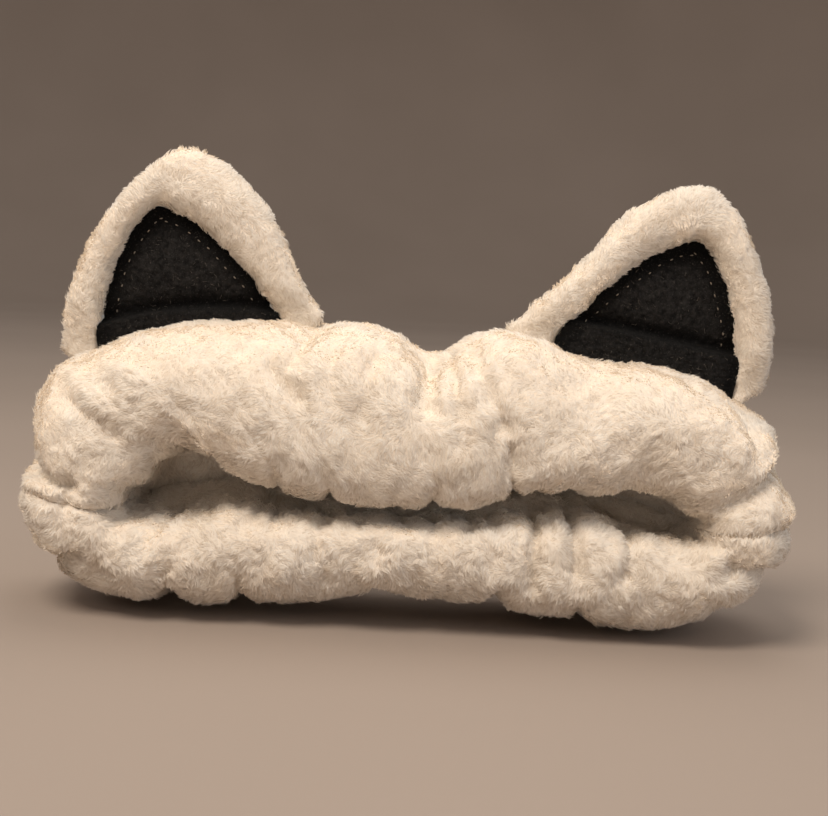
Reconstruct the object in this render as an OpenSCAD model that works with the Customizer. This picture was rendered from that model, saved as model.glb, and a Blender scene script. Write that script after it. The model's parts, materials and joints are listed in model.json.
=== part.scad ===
// Plush animal-ears headband: an elastic fleece loop, lying flattened, with two stuffed ears on its
// front strand.
// Frame: +X to the right, +Y to the back, +Z up. Left and right are as seen from the front.
// The origin is under the middle of the back strand.
// Units are millimetres.

/* [Loop] */
// Width of the relaxed loop, side to side
loop_w = 210; // [180:5:240]
// Height of the plane where the front and back sleeves are joined at the sides
seam_z = 33; // [30:1:36]
// Height of the front strand's crest beside the ears
crest_z = 80; // [76:1:84]
// How far the crest dips between the ears
crest_dip = 5.5; // [2:0.5:8]
// Fall of the crest towards the left side, in degrees
left_fall = 9.5; // [6:0.5:12]
// Fall of the crest towards the right side, in degrees
right_fall = 11; // [6:0.5:13]
// How far the back strand bows up in its middle
sole_arch = 6; // [3:0.5:8]
// Depth of the front strand, front to back
front_depth = 60; // [50:2:70]
// Depth of the back strand, front to back
back_depth = 50; // [40:2:60]

/* [Head opening] */
// Width of the opening when the loop is relaxed
opening_w = 150; // [120:5:160]
// Height of the slit in the middle
slit_h = 3.4; // [2:0.2:5]
// How much the opening rises near each end
opening_rise = 8; // [5:0.5:10]
// How much the opening sinks near each end
opening_sink = 2; // [1:0.5:4]

/* [Fabric and elastic] */
// Thickness of the fleece, backing and pile together
fleece_t = 4.5; // [3:0.5:5]
// Gap between the front and back sleeves at the side seams
seam_gap = 0.4; // [0.3:0.1:1]
// Width of the elastic
elastic_w = 24; // [15:1:30]
// Thickness of the elastic
elastic_t = 1.6; // [1:0.1:2]

/* [Ears] */
// Width of an ear at its base
ear_w = 74; // [60:2:78]
// Height of an ear above its base seam
ear_h = 51; // [40:1:60]
// Thickness of an ear where it is fullest
ear_t = 14; // [11:1:16]
// Distance of an ear's middle from the loop's middle
ear_x = 62; // [56:1:64]
// Distance of the ears behind the strand's middle
ear_y = 6; // [3:1:8]
// How far the left ear's tip leans to the right, square to its base seam
left_tip = 6.5; // [-6:0.5:8]
// How far the right ear's tip leans to the right, square to its base seam
right_tip = 6; // [-6:0.5:8]
// Width of the black felt at its base
felt_w = 49; // [40:1:52]
// Height of the black felt's tip above the base seam
felt_h = 35; // [28:1:37]
// How far the left felt's tip leans to the left, square to its base seam
left_felt_lean = 3.5; // [0:0.5:5]
// How far the right felt's tip leans to the right, square to its base seam
right_felt_lean = 7.5; // [0:0.5:8]

/* [Hidden] */

fleece_colour = [0.93, 0.89, 0.82];
felt_colour = [0.05, 0.05, 0.05];
wadding_colour = [0.97, 0.97, 0.95];
elastic_colour = [0.9, 0.9, 0.88];
thread_colour = [0.95, 0.93, 0.88];

half_w = loop_w / 2;
half_open = opening_w / 2;
lens_x = 57;         // where the opening is tallest
lens_w = 13;         // how far along the strand each rise spreads
shoulder_x = 22;     // where the crest starts to fall
shoulder_r = 10;     // how gently that fall starts
dip_w = 13;          // how far the dip between the ears spreads
sole_z = -5;         // lowest point of the sole's outline before it is cut flat
sole_half = 75;      // where the sole's arch ends
top_power = 8;       // squareness of the loop's upper corners
bottom_power = 3.2;  // squareness of the loop's lower corners
open_power = 4;      // squareness of the opening's ends
section_power = 2.4; // squareness of a strand's cross-section
section_sides = 20;
step_deg = 5;        // turn along the loop from one ring to the next
clear = 0.3;         // gap between soft pieces that lie on each other

// ---- the loop's outline ----

function norm_p(c, s, n) = pow(pow(abs(c), n) + pow(abs(s), n), 1 / n);
function bump(x, at, w) = exp(-pow((abs(x) - at) / w, 2));
function soft_start(d, r) = d > 0 ? norm([d, r]) - r : 0;
function crest(x) =
    crest_z - tan(x < 0 ? left_fall : right_fall) * soft_start(abs(x) - shoulder_x, shoulder_r)
    - crest_dip * exp(-pow(x / dip_w, 2));
function sole(x) = sole_z + (sole_arch - sole_z) * pow(cos(90 * min(abs(x) / sole_half, 1)), 2);

// Outer outline at turn t, as [x, z]: 0 is the right side, 90 the crest, 270 the sole.
function outline(t) =
    let (c = cos(t), s = sin(t), k = norm_p(c, s, s >= 0 ? top_power : bottom_power), x = half_w * c / k)
    [x, seam_z + (s >= 0 ? crest(x) - seam_z : seam_z - sole(x)) * s / k];

// Edge of the head opening at turn t, as [x, z].
function opening(t) =
    let (c = cos(t), s = sin(t), k = norm_p(c, s, open_power), x = half_open * c / k)
    [x, seam_z + (slit_h / 2 + (s >= 0 ? opening_rise : opening_sink) * bump(x, lens_x, lens_w)) * s / k];

function middle(t) = (outline(t) + opening(t)) / 2;
function reach(t) = norm(outline(t) - opening(t)) / 2;
function out_dir(t) = (outline(t) - opening(t)) / (2 * reach(t));
function half_depth(t) = (front_depth + back_depth) / 4 + (front_depth - back_depth) / 4 * sin(t);

// A point of the loop at turn t, r out from the strand's middle line and y along the depth.
function loop_point(t, r, y) = [middle(t)[0] + out_dir(t)[0] * r, y, middle(t)[1] + out_dir(t)[1] * r];

// ---- sweeps ----

// Closed skin over equal rings of points, with both ends capped.
module skin(rings) {
    n = len(rings[0]);
    last = len(rings) - 1;
    sides = [
        for (i = [0 : last - 1]) for (j = [0 : n - 1]) each ring_pair(i * n, (i + 1) * n, j, (j + 1) % n)
    ];
    ends = [[for (j = [0 : n - 1]) j], [for (j = [n - 1 : -1 : 0]) last * n + j]];
    polyhedron(points = [for (r = rings) for (p = r) p], faces = concat(sides, ends));
}

// Two triangles between places j and k of two rings, whose points start at a and b.
function ring_pair(a, b, j, k) = [[a + j, b + k, a + k], [a + j, b + j, b + k]];

// Ring round the strand at turn t, drawn in by inset.
function strand_ring(t, inset) = [
    for (j = [0 : section_sides - 1])
        let (v = 360 * j / section_sides, k = norm_p(cos(v), sin(v), section_power))
        loop_point(t, (reach(t) - inset) * cos(v) / k, (half_depth(t) - inset) * sin(v) / k)
];

// Rectangle across the strand at turn t, its middle r out from the strand's middle line.
function ribbon_ring(t, r, thick, wide) = [
    loop_point(t, r - thick / 2, -wide / 2),
    loop_point(t, r + thick / 2, -wide / 2),
    loop_point(t, r + thick / 2, wide / 2),
    loop_point(t, r - thick / 2, wide / 2)
];

// Small round roll along the strand, on the inner side of the tube.
roll_r = 1.2;
function roll_ring(t) = [
    for (v = [0 : 60 : 300])
        loop_point(t, fleece_t + 1.6 - reach(t) + roll_r * cos(v), roll_r * sin(v))
];

// Outer half of the tube's cavity, as a D.
function pad_ring(t) = [
    for (v = [-90 : 18 : 90])
        let (k = norm_p(cos(v), sin(v), section_power), inset = fleece_t + clear)
        loop_point(t, (reach(t) - inset) * cos(v) / k, (half_depth(t) - inset) * sin(v) / k)
];

module strand(t0, t1, inset) skin([for (t = [t0 : step_deg : t1]) strand_ring(t, inset)]);

function elastic_r(t) = -0.25 * reach(t);
module elastic(t0, t1, lift = 0, wide = elastic_w)
    skin([for (t = [t0 : step_deg : t1]) ribbon_ring(t, elastic_r(t) + lift, elastic_t, wide)]);

// ---- back strand: the root, which rests on the surface ----

module back_sleeve() color(fleece_colour)
    intersection() {
        difference() {
            strand(180, 360, 0);
            strand(175, 365, fleece_t);
        }
        translate([-loop_w, -loop_w, 0]) cube([2 * loop_w, 2 * loop_w, seam_z]);
    }

module back_elastic() color(elastic_colour) elastic(180, 360);

// The elastic's free end, lapped over its start behind the middle of the head.
lap_turn = [260, 280];
lap_gap = 0.05;
module back_elastic_lap() color(elastic_colour)
    elastic(lap_turn[0], lap_turn[1], elastic_t + lap_gap, elastic_w - 1);

// Two rows of stitches across the lap.
stitch_r = 0.35;
module back_lap_stitches() color(thread_colour)
    for (t = [265, 275]) for (y = [-9 : 3 : 9])
        translate(loop_point(t, elastic_r(t) + 1.5 * elastic_t + 2 * lap_gap + stitch_r, y))
            rotate([90, 0, 0]) cylinder(r = stitch_r, h = 2, center = true, $fn = 16);

module back_tube_seam() color(fleece_colour) skin([for (t = [190 : step_deg : 350]) roll_ring(t)]);

// ---- front strand ----

module sleeve_upper() color(fleece_colour)
    difference() {
        strand(0, 180, 0);
        strand(-5, 185, fleece_t);
        translate([-loop_w, -loop_w, seam_z - loop_w]) cube([2 * loop_w, 2 * loop_w, loop_w]);
        for (side = [-1, 1]) at_ear(side) seam_trough();
    }

module wadding_upper() color(wadding_colour) skin([for (t = [25 : step_deg : 155]) pad_ring(t)]);

module elastic_upper() color(elastic_colour) elastic(0, 180);

module tube_seam_upper() color(fleece_colour) skin([for (t = [15 : step_deg : 165]) roll_ring(t)]);

// Overlocked roll inside a side seam, round the tube.
side_roll_r = 1;
module side_seam(t) color(thread_colour) {
    inset = fleece_t + side_roll_r + 0.2;
    rise = side_roll_r + 0.3;
    rings = [for (v = [0 : 15 : 345]) [for (w = [0 : 60 : 300])
        let (out = side_roll_r * cos(w) - inset)
        loop_point(t, (reach(t) + out) * cos(v), (half_depth(t) + out) * sin(v))
        + [0, 0, rise - cos(t) * side_roll_r * sin(w)]]];
    ring_skin(rings);
}

// Closed skin over rings that come back to the first.
module ring_skin(rings) {
    n = len(rings[0]);
    m = len(rings);
    sides = [
        for (i = [0 : m - 1]) for (j = [0 : n - 1]) each ring_pair(i * n, (i + 1) % m * n, j, (j + 1) % n)
    ];
    polyhedron(points = [for (r = rings) for (p = r) p], faces = sides);
}

// ---- ears, each in its own frame: X along the base seam, Z towards the tip ----

seat_z = 0.1;             // how far the base seam's middle lies below the crest
neck_h = 1.5;             // where the ear's panels start above the base seam
neck_t = 3;               // thickness of the ear there
full_h = 14;              // where the ear reaches its full thickness
panel_t = 2.2;            // thickness of an ear's fleece panel
base_seam_r = 1.4;
window_wall = 1.6;        // fleece turned in round the felt
felt_t = 1.3;
felt_front = -2.3;        // depth of the felt's front face
felt_foot = 6;            // where the flat part of the felt starts
outline_a = 1.3;          // the two powers that round an ear's outline
outline_b = 0.6;
ear_sides = 24;
tip_u = 0.985;            // share of the height where the tip is capped

module at_ear(side)
    translate([side * ear_x, ear_y, crest(side * ear_x) - seat_z])
        rotate([0, side < 0 ? -left_fall : right_fall, 0])
            children();

function smooth(u) = let (q = min(max(u, 0), 1)) q * q * (3 - 2 * q);
function half_width(w, h, z) = w / 2 * pow(max(1 - pow(z / h, outline_a), 0), outline_b);
function ear_half_t(z) =
    let (swell = smooth((z - neck_h) / (full_h - neck_h)))
    (neck_t + (ear_t - neck_t) * swell) / 2 * sqrt(1 - pow(z / ear_h, 5));

function ear_ring(z, inset, tip) = [
    for (j = [0 : ear_sides - 1])
        let (v = 360 * j / ear_sides, k = norm_p(cos(v), sin(v), section_power))
        [
            tip * z / ear_h + (half_width(ear_w, ear_h, z) - inset) * cos(v) / k,
            (ear_half_t(z) - inset) * sin(v) / k,
            z
        ]
];

outer_levels = [for (u = [0 : 0.0625 : 1]) neck_h + (tip_u * ear_h - neck_h) * sin(90 * u)];
core_from = 0.2;          // share of the height where the hollow starts
core_to = 0.86;           // share of the height where it ends
core_levels = [for (u = [0 : 0.1 : 1]) ear_h * (core_from + (core_to - core_from) * u)];

module ear_body(tip) skin([for (z = outer_levels) ear_ring(z, 0, tip)]);

// The ear's hollow, drawn in by inset, its ends by what that is more than the panels.
module ear_core(inset, tip) {
    ends = inset - panel_t;
    low = core_levels[0] + ends;
    high = core_levels[len(core_levels) - 1] - ends;
    skin([for (z = core_levels) ear_ring(min(max(z, low), high), inset, tip)]);
}

// Prism over the felt's outline, grown by grow, from depth y0 to y1, its tip leaning by lean.
module felt_prism(grow, y0, y1, lean) {
    levels = [for (u = [0 : 0.05 : 0.95]) felt_foot + (felt_h - felt_foot) * u];
    edge = [for (z = levels) [half_width(felt_w, felt_h, z) + grow, z == felt_foot ? z - grow : z]];
    mirrored = [for (i = [len(edge) - 1 : -1 : 0]) [-edge[i][0], edge[i][1]]];
    outline = concat(edge, [[0, felt_h + grow]], mirrored);
    translate([0, y1, 0]) rotate([90, 0, 0]) linear_extrude(y1 - y0)
        polygon([for (p = outline) [p[0] + lean * p[1] / felt_h, p[1]]]);
}

panel_gap = 0.1;          // half the gap between the back panel and the front border
module half_space(front)
    translate([-loop_w, front ? -loop_w - panel_gap : panel_gap, -loop_w])
        cube([2 * loop_w, loop_w, 2 * loop_w]);

module ear_cavity(inset, tip, lean)
    difference() {
        ear_core(inset, tip);
        felt_prism(window_wall + inset - panel_t, -ear_t, felt_front + felt_t + inset - panel_t, lean);
    }

module ear_back_panel(tip, lean) color(fleece_colour)
    difference() {
        intersection() {
            ear_body(tip);
            half_space(false);
        }
        ear_cavity(panel_t, tip, lean);
    }

module ear_front_border(tip, lean) color(fleece_colour)
    difference() {
        intersection() {
            ear_body(tip);
            half_space(true);
        }
        ear_cavity(panel_t, tip, lean);
        felt_prism(0, -ear_t, felt_front + felt_t + 0.05, lean);
    }

module ear_felt(lean) color(felt_colour) felt_prism(-0.15, felt_front, felt_front + felt_t, lean);

module ear_wadding(tip, lean) color(wadding_colour) ear_cavity(panel_t + clear, tip, lean);

// Stitches in a row inside the felt's edge.
stitch_inset = 4;
stitch_len = 1.6;
function stitch_tilt(u) = 18 + 38 * u * u;
module ear_topstitch(lean) color(thread_colour)
    for (side = [-1, 1]) for (u = [0.26 : 0.08 : 0.82]) {
        z = u * felt_h;
        x = side * (half_width(felt_w, felt_h, z) - stitch_inset) + lean * z / felt_h;
        translate([x, felt_front - stitch_r - 0.02, z - 1]) rotate([0, -side * stitch_tilt(u), 0])
            cylinder(r = stitch_r, h = stitch_len, center = true, $fn = 16);
    }

// Roll of the ear's seam allowance, sewn to the strand: the line the ear folds about.
module ear_base_seam() color(thread_colour)
    rotate([0, 90, 0]) cylinder(r = base_seam_r, h = ear_w - 8, center = true, $fn = 32);

// Room in the strand's crest for the base seam and the folding ear.
module seam_trough()
    translate([-ear_w / 2 - 3, 0, 0]) rotate([90, 0, 90]) linear_extrude(ear_w + 6)
        polygon([[-4, -1.7], [4, -1.7], [18, 3.5], [18, 9], [-18, 9], [-18, 3.5]]);

// ---- the nodes ----

// The front strand and all it carries sit above the side seams' gap.
module raised() translate([0, 0, seam_gap]) children();
module on_ear(side) raised() at_ear(side) children();

module front_sleeve() raised() sleeve_upper();
module front_wadding() raised() wadding_upper();
module front_elastic() raised() elastic_upper();
module front_tube_seam() raised() tube_seam_upper();
module left_side_seam() raised() side_seam(180);
module right_side_seam() raised() side_seam(0);
module left_ear_base_seam() on_ear(-1) ear_base_seam();
module right_ear_base_seam() on_ear(1) ear_base_seam();
module left_ear_back_panel() on_ear(-1) ear_back_panel(left_tip, -left_felt_lean);
module right_ear_back_panel() on_ear(1) ear_back_panel(right_tip, right_felt_lean);
module left_ear_front_border() on_ear(-1) ear_front_border(left_tip, -left_felt_lean);
module right_ear_front_border() on_ear(1) ear_front_border(right_tip, right_felt_lean);
module left_ear_felt() on_ear(-1) ear_felt(-left_felt_lean);
module right_ear_felt() on_ear(1) ear_felt(right_felt_lean);
module left_ear_wadding() on_ear(-1) ear_wadding(left_tip, -left_felt_lean);
module right_ear_wadding() on_ear(1) ear_wadding(right_tip, right_felt_lean);
module left_ear_topstitch() on_ear(-1) ear_topstitch(-left_felt_lean);
module right_ear_topstitch() on_ear(1) ear_topstitch(right_felt_lean);

front_sleeve();
front_wadding();
front_elastic();
front_tube_seam();
back_sleeve();
back_elastic();
back_elastic_lap();
back_lap_stitches();
back_tube_seam();
left_side_seam();
right_side_seam();
left_ear_base_seam();
right_ear_base_seam();
left_ear_back_panel();
left_ear_front_border();
left_ear_felt();
left_ear_wadding();
left_ear_topstitch();
right_ear_back_panel();
right_ear_front_border();
right_ear_felt();
right_ear_wadding();
right_ear_topstitch();
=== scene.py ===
import json
from math import cos, pi, radians, sin, sqrt, tan

import bpy
import numpy as np
from mathutils import Matrix, Vector

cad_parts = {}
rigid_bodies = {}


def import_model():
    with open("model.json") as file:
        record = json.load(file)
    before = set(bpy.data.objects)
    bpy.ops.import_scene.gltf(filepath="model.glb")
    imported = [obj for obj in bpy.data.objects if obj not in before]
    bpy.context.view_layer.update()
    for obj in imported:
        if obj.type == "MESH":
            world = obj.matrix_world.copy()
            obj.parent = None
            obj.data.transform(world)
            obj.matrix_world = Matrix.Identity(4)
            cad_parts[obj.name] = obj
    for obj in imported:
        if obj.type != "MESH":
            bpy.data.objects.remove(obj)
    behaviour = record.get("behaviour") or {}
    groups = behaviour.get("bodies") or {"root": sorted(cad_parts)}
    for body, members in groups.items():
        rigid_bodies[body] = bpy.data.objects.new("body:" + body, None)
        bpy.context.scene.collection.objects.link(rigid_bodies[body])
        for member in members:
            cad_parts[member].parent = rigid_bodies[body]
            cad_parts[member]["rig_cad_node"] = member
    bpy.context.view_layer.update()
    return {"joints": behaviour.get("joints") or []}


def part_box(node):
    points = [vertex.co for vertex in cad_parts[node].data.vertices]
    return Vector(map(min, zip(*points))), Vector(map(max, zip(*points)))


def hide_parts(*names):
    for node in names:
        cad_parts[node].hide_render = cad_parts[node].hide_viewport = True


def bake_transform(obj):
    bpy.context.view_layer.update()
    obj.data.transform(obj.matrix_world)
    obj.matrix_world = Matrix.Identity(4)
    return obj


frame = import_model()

# Plush animal-ears headband. Shapes are worked out in millimetres and written to meshes in metres.
# A point of the loop has a turn t (0 right side, 90 crest, 180 left side, 270 sole) and an angle v round the
# strand (0 away from the head opening, 90 back, 180 at the opening, 270 front), in degrees.
MM = 0.001
SEED = 7


# ---- sizes from the frame ----

def node_box(name):
    low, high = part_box(name)
    return np.array(low) / MM, np.array(high) / MM


front_low, front_high = node_box("front_sleeve")
back_low, back_high = node_box("back_sleeve")
HALF_W = front_high[0]
SEAM_Z = (front_low[2] + back_high[2]) / 2
CREST_Z = front_high[2]
FRONT_DEEP = front_high[1]
BACK_DEEP = back_high[1]

# ---- the loop's shape ----

HALF_OPEN = 74.0  # half the width of the head opening
OPEN_X = 1.2  # how far it lies to the right
CLOSED_Y = 15.0  # depth at which the strands lie against each other
CLOSED_W = 9.5
LEFT_FALL = 8.0  # fall of the crest towards each side, in degrees
RIGHT_FALL = 12.0
SHOULDER_X = 22  # where that fall starts
SHOULDER_R = 10  # how gently it starts
CREST_DIP = 5.5  # depth, place and spread of the dip between the ears
DIP_X = 5
DIP_W = 11
SOLE_ARCH = 7.5  # rise of the sole in the middle
SOLE_CORNER = -2  # height of the corners, before they are pressed flat
SOLE_HALF = 75
TOP_POWER = 6.5  # squareness of the upper and lower outline, the opening and the section
BOTTOM_POWER = 3.2
OPEN_POWER = 3.0
SECTION_POWER = 2.35
INNER_POWER = 3.3  # the same for the side towards the opening, and how much more in the middle
INNER_MORE = 3.2
INNER_MORE_W = 36.0
SLIT = 1.2  # gap between the strands at the front
CONTACT = 0.05  # half the gap kept between the strands where they press on each other
SLIT_JOG = 1.8  # how far the gap between them rises inside the opening
LEFT_PINCH = 4.3  # how far the front strand's ends are drawn in above the side seams
RIGHT_PINCH = 3.0


def pnorm(a, b, n):
    return (np.abs(a) ** n + np.abs(b) ** n) ** (1 / n)


def cos_sin(degrees):
    return np.cos(np.radians(degrees)), np.sin(np.radians(degrees))


def bump(x, at, width):
    return np.exp(-(((x - at) / width) ** 2))


def smooth(u):
    u = np.clip(u, 0, 1)
    return u * u * (3 - 2 * u)


def crest(x):
    past = np.maximum(np.abs(x) - SHOULDER_X, 0)
    slope = np.tan(np.radians(np.where(x < 0, LEFT_FALL, RIGHT_FALL)))
    fall = slope * (np.hypot(past, SHOULDER_R) - SHOULDER_R)
    rolls = 1.6 * bump(x, -60, 17) - 2.0 * bump(x, -88, 8) - 3.2 * bump(x, 48, 13)
    return CREST_Z - fall - CREST_DIP * bump(x, DIP_X, DIP_W) + rolls


def sole(x):
    arched = np.cos(np.pi / 2 * np.minimum(np.abs(x) / SOLE_HALF, 1)) ** 2
    return SOLE_CORNER + (SOLE_ARCH - SOLE_CORNER) * arched


def drawn_in(x, z):
    """How far the ends of the loop are drawn in: above the side seams, and low down."""
    left = LEFT_PINCH * smooth((z - 37) / 5) + 2.7 * bump(z, 21, 7)
    right = RIGHT_PINCH * smooth((z - 38) / 7) + 2.4 * bump(z, 13, 6)
    return np.where(x < 0, left, right) * smooth((np.abs(x) - 72) / 24) * (1 - 0.6 * smooth((z - 58) / 14))


def outline(t):
    """The loop's outer edge at turn t, as x and z."""
    c, s = cos_sin(t)
    k = np.where(s >= 0, pnorm(c, s, TOP_POWER), pnorm(c, s, BOTTOM_POWER))
    x = HALF_W * c / k
    z = SEAM_Z + np.where(s >= 0, crest(x) - SEAM_Z, SEAM_Z - sole(x)) * s / k
    return x - np.sign(x) * drawn_in(x, z), z


def slit_z(x, y):
    """Height of the line where the two strands meet, at a depth y."""
    ends = np.where(x < 0, 2.9, 0.9) * (np.abs(x) / 72) ** 4
    jog = SLIT_JOG * bump(y, CLOSED_Y, 6)
    return SEAM_Z - 1.9 + 2.6 * bump(x, -42, 9) + 4.5 * bump(x, 40, 17) - ends + jog


def open_share(y):
    """1 where the opening gapes, towards 0 where the strands lie against each other."""
    return 1 - bump(y, CLOSED_Y, CLOSED_W)


def lips(x, y):
    """How far the opening's upper and lower lip stand off the line between the strands."""
    open_here = open_share(y)
    upper = 19.0 * bump(x, -59, 14) + 11.0 * bump(x, 63, 14)
    lower = 2.0 * bump(x, -64, 10) + 3.0 * bump(x, 68, 9)
    return SLIT / 2 * (0.4 + 0.6 * open_here) + upper * open_here, SLIT / 2 * open_here + lower * open_here


def opening(t, y):
    """The opening's edge at turn t and depth y, as x and z: a slit with a lens near each end."""
    c, s = cos_sin(t)
    k = pnorm(c, s, OPEN_POWER)
    x = OPEN_X + HALF_OPEN * c / k
    upper, lower = lips(x, y)
    return x, slit_z(x, y) + np.where(s >= 0, upper, lower) * s / k


def half_depth(t):
    mean = (FRONT_DEEP + BACK_DEEP) / 2
    return mean + (FRONT_DEEP - BACK_DEEP) / 2 * np.sin(np.radians(t))


def loop_points(t, v, inset):
    """Points of the strand's surface, drawn in by inset."""
    cv, sv = cos_sin(v)
    ox, oz = outline(t)
    inner_power = INNER_POWER + INNER_MORE * bump(ox, 0, INNER_MORE_W)
    k = np.where(cv > 0, pnorm(cv, sv, SECTION_POWER), pnorm(cv, sv, inner_power))
    y = (half_depth(t) - inset) * sv / k
    ix, iz = opening(t, y)
    reach = np.hypot(ox - ix, oz - iz) / 2
    dx, dz = (ox - ix) / (2 * reach), (oz - iz) / (2 * reach)
    inner = CONTACT + (inset - CONTACT) * open_share(y)
    r = (reach - np.where(cv > 0, inset, inner)) * cv / k
    return np.stack(np.broadcast_arrays((ox + ix) / 2 + dx * r, y, (oz + iz) / 2 + dz * r), -1)


def turn_table():
    """Turns, and the distance along the strand's middle line from the right side seam."""
    t = np.linspace(0, 360, 3601)
    ox, oz = outline(t)
    ix, iz = opening(t, CLOSED_Y)
    step = np.hypot(np.diff((ox + ix) / 2), np.diff((oz + iz) / 2))
    return t, np.concatenate([[0], np.cumsum(step)])


TURNS, ALONG = turn_table()
LOOP_LEN = ALONG[-1]
LEFT_SEAM = np.interp(180, TURNS, ALONG)


def along_of(t):
    return np.interp(np.mod(t, 360), TURNS, ALONG)


def turn_of(along):
    return np.interp(np.mod(along, LOOP_LEN), ALONG, TURNS)


# ---- creases ----
# Folds of the front, each from one x and z to another, with its depth and width.

FRONT_FOLDS = [
    (-107, 41, -98, 38.5, 4.2, 2.5),  # left side seam
    (-98, 38.5, -86, 35.2, 4.2, 1.9),
    (-87, 35.2, -87, 29.5, 3.1, 1.7),
    (-88, 58.5, -75.5, 48.5, 3.4, 2.9),  # left end of the front strand
    (-97, 13, -84, 15.6, 4.7, 2.5),  # left end of the back strand
    (-84, 15.6, -79, 12.5, 2.6, 2.5),
    (-61.8, -8, -61.3, 6.5, 7.8, 1.9),  # the deep notch in the sole
    (-61.3, 6.5, -60.5, 14, 2.1, 2.2),
    (-41, -6, -42.5, 13, 3.4, 2.2),
    (-36, 69.5, -27.5, 60.5, 4.2, 2),  # folds below the left ear
    (-24.5, 82, -31.5, 70, 3.4, 2.2),
    (-21, 74, -20, 61, 2.3, 2.4),
    (6.5, 84, 4, 62, 6, 2.7),  # the dip between the ears
    (9, 76, 12.5, 60, 3.1, 2.2),
    (16.5, 72, 24.5, 57, 3.4, 2.4),
    (-9, 72, -12, 58, 2.3, 2.5),
    (26.5, 51, 28.5, 36, 3.9, 1.9),  # puckers below the front strand
    (-33, 40, -34, 30, 2.9, 1.6),
    (-19.5, 36, -20, 30, 2.9, 1.6),
    (7, 38, 7.5, 30, 2.6, 1.6),
    (34, 37, 34.5, 14, 4.4, 1.9),  # gathers of the back strand
    (43.5, 38, 45, 20, 3.9, 1.7),
    (60, 33, 58, 20, 3.1, 1.9),
    (24.5, -4, 25, 12, 3.1, 2),
    (-5, -4, -6, 9, 2.9, 2),
    (48, -4, 47, 8, 2.9, 2),
    (103, 51, 80, 37.5, 5.5, 2.5),  # right side seam
    (80, 37.5, 77.5, 33.5, 2.9, 2),
    (106, 18.5, 86, 22, 4.9, 2.5),  # right end of the back strand
    (92, 6, 82, 11, 2.1, 2.5),
    (86, 66, 92, 52, 2.3, 3.1),
]
# Gathers that the elastic draws: how many, from and to which turn, depth, and angles round the strand.
GATHERS_FRONT = (16, 12, 168, 0.9, (188, 205, 110))
GATHERS_BACK = (30, 196, 344, 1.7, (185, 205, 175))
GATHERS_BEHIND = (26, 8, 352, 2.4, (60, 110, 90))
SEAM_CREASES = [(0, 0, 400, 0.8, 1.6, 0), (180, 0, 400, 0.8, 1.6, 0)]  # all round, at both side seams
CREASE_SHARE = 0.75  # how much of a crease's depth the skin takes


def random_gathers():
    """Short creases: turn, angle round the strand, span, depth, width and slant, seeded."""
    rng = np.random.default_rng(SEED)
    made = []
    for count, low, high, deep, sides in (GATHERS_FRONT, GATHERS_BACK, GATHERS_BEHIND):
        for i in range(count):
            at = low + (high - low) * (i + rng.uniform(0.15, 0.85)) / count
            made.append((at, rng.choice(sides) + rng.uniform(-14, 14), rng.uniform(18, 40),
                         deep * rng.uniform(0.6, 1.25), rng.uniform(1.8, 3.0), rng.uniform(-0.06, 0.06)))
    return made


def crease_line(d, width):
    return 0.8 * np.exp(-((d / width) ** 2)) + 0.2 * np.exp(-((d / (3 * width)) ** 2))


def fold_depth(p):
    """Depth of the front's folds at each point."""
    depth = np.zeros(p.shape[:-1])
    x, y, z = p[..., 0], p[..., 1], p[..., 2]
    facing = smooth((4 - y) / 12)
    for x0, z0, x1, z1, deep, width in FRONT_FOLDS:
        run = (x1 - x0) ** 2 + (z1 - z0) ** 2
        u = np.clip(((x - x0) * (x1 - x0) + (z - z0) * (z1 - z0)) / run, 0, 1)
        d = np.hypot(x - x0 - u * (x1 - x0), z - z0 - u * (z1 - z0))
        depth = np.maximum(depth, CREASE_SHARE * deep * crease_line(d, width) * facing)
    return depth


def gather_depth(along, v):
    """Depth of the gathers and of the side seams round the strand."""
    depth = np.zeros(np.broadcast(along, v).shape)
    for turn, angle, span, deep, width, slant in SEAM_CREASES + random_gathers():
        dv = np.mod(v - angle + 180, 360) - 180
        du = np.mod(along - along_of(turn) - slant * dv + LOOP_LEN / 2, LOOP_LEN) - LOOP_LEN / 2
        depth = np.maximum(depth, CREASE_SHARE * deep * crease_line(du, width) * np.exp(-((dv / span) ** 4)))
    return depth


# ---- helpers on grids of points ----

def waves(p, length, seed, count=14):
    """Smooth noise of about -1 to 1 with features of a given length, from seeded waves."""
    rng = np.random.default_rng(seed)
    k = rng.normal(size=(count, 3))
    k *= (2 * pi / length * rng.uniform(0.7, 1.4, (count, 1))) / np.linalg.norm(k, axis=1, keepdims=True)
    phase = rng.uniform(0, 2 * pi, count)
    total = np.zeros(p.shape[:-1])
    for ki, f in zip(k, phase):
        total += np.sin(p @ ki + f)
    return total * sqrt(2 / count)


def unit(a):
    return a / np.maximum(np.linalg.norm(a, axis=-1, keepdims=True), 1e-9)


def run_along(p):
    """Distance along a line of points from its first one."""
    return np.concatenate([[0], np.cumsum(np.linalg.norm(np.diff(p, axis=0), axis=1))])


def slopes(p, closed_u, closed_v):
    """Steps of a grid of points along u and v."""
    rolled = [(np.roll(p, -1, axis) - np.roll(p, 1, axis)) / 2 for axis in (0, 1)]
    return [rolled[k] if closed else np.gradient(p, axis=k) for k, closed in enumerate((closed_u, closed_v))]


def grid_normals(p, closed_u=False, closed_v=True):
    du, dv = slopes(p, closed_u, closed_v)
    return unit(np.cross(dv, du))


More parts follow.
